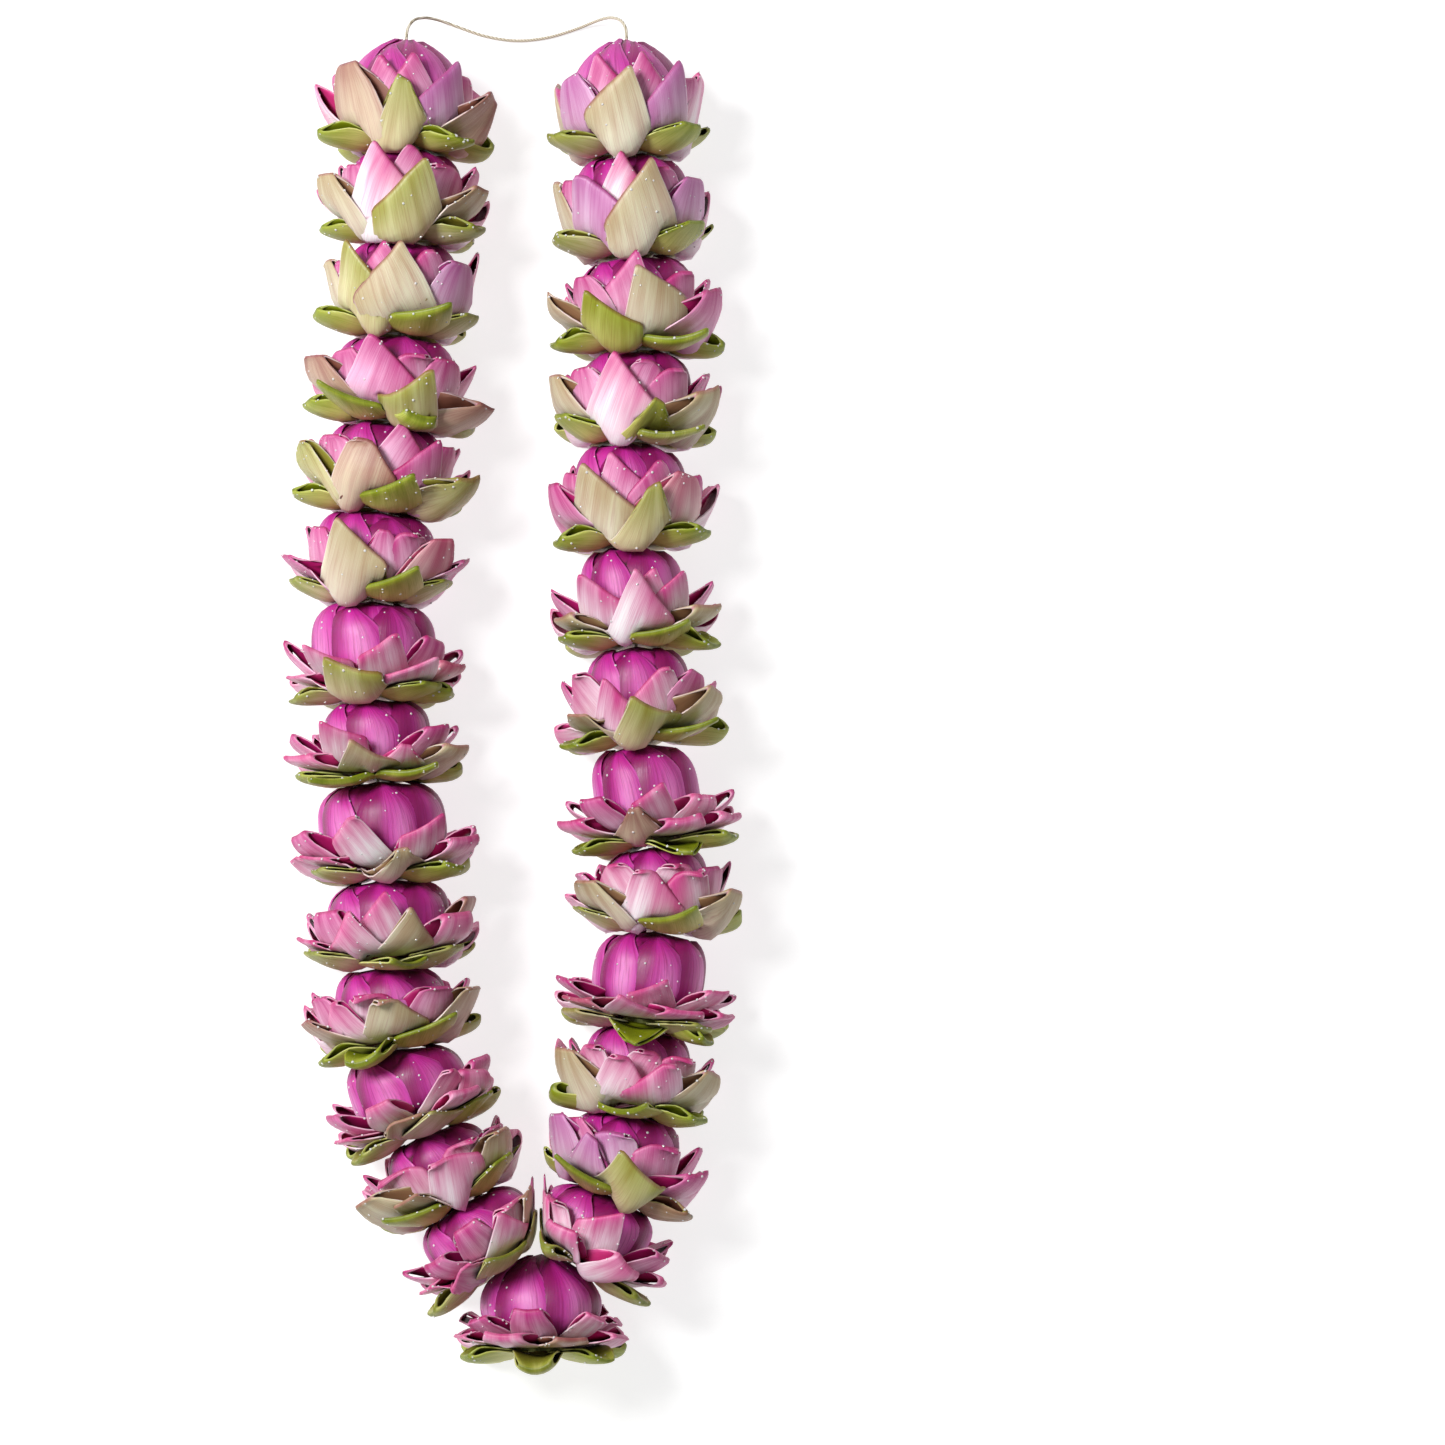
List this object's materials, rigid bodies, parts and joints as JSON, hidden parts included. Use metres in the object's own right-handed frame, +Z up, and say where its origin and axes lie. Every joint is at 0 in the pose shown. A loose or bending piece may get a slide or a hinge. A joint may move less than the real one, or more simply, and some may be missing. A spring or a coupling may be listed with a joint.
{
  "type": "lotus flower garland",
  "caption": "Garland of pink lotus blooms with folded petals and green calyxes, strung on a cotton thread and laid flat as a long loop that ends in a pendant bloom.",
  "frame": {"origin": "middle of the garland's outline, on the table that it lies on", "axes": "+Y along the garland from the pendant to the open ends of the strands, +X to the right strand, +Z up from the table"},
  "size_m": [0.2097, 0.6103, 0.0728],
  "materials": {
    "pink_petal": "fresh petal, soft satin with fine lengthwise veins, pink towards the crease and cream at the root",
    "green_petal": "fresh sepal-like petal, waxy satin, yellow green with fine lengthwise veins",
    "cotton": "plain twisted cotton thread, matt"
  },
  "bodies": {
    "root": {"bloom_pendant": "pink_petal", "bloom_left_01": "pink_petal", "bloom_left_02": "pink_petal", "bloom_left_03": "pink_petal", "bloom_left_04": "pink_petal", "bloom_left_05": "pink_petal", "bloom_left_06": "pink_petal", "bloom_left_07": "pink_petal", "bloom_left_08": "pink_petal", "bloom_left_09": "pink_petal", "bloom_left_10": "pink_petal", "bloom_left_11": "pink_petal", "bloom_left_12": "pink_petal", "bloom_left_13": "pink_petal", "bloom_left_14": "pink_petal", "bloom_right_01": "pink_petal", "bloom_right_02": "pink_petal", "bloom_right_03": "pink_petal", "bloom_right_04": "pink_petal", "bloom_right_05": "pink_petal", "bloom_right_06": "pink_petal", "bloom_right_07": "pink_petal", "bloom_right_08": "pink_petal", "bloom_right_09": "pink_petal", "bloom_right_10": "pink_petal", "bloom_right_11": "pink_petal", "bloom_right_12": "pink_petal", "bloom_right_13": "pink_petal", "calyx_pendant": "green_petal", "calyx_left_01": "green_petal", "calyx_left_02": "green_petal", "calyx_left_03": "green_petal", "calyx_left_04": "green_petal", "calyx_left_05": "green_petal", "calyx_left_06": "green_petal", "calyx_left_07": "green_petal", "calyx_left_08": "green_petal", "calyx_left_09": "green_petal", "calyx_left_10": "green_petal", "calyx_left_11": "green_petal", "calyx_left_12": "green_petal", "calyx_left_13": "green_petal", "calyx_left_14": "green_petal", "calyx_right_01": "green_petal", "calyx_right_02": "green_petal", "calyx_right_03": "green_petal", "calyx_right_04": "green_petal", "calyx_right_05": "green_petal", "calyx_right_06": "green_petal", "calyx_right_07": "green_petal", "calyx_right_08": "green_petal", "calyx_right_09": "green_petal", "calyx_right_10": "green_petal", "calyx_right_11": "green_petal", "calyx_right_12": "green_petal", "calyx_right_13": "green_petal", "thread": "cotton"}
  },
  "joints": []
}
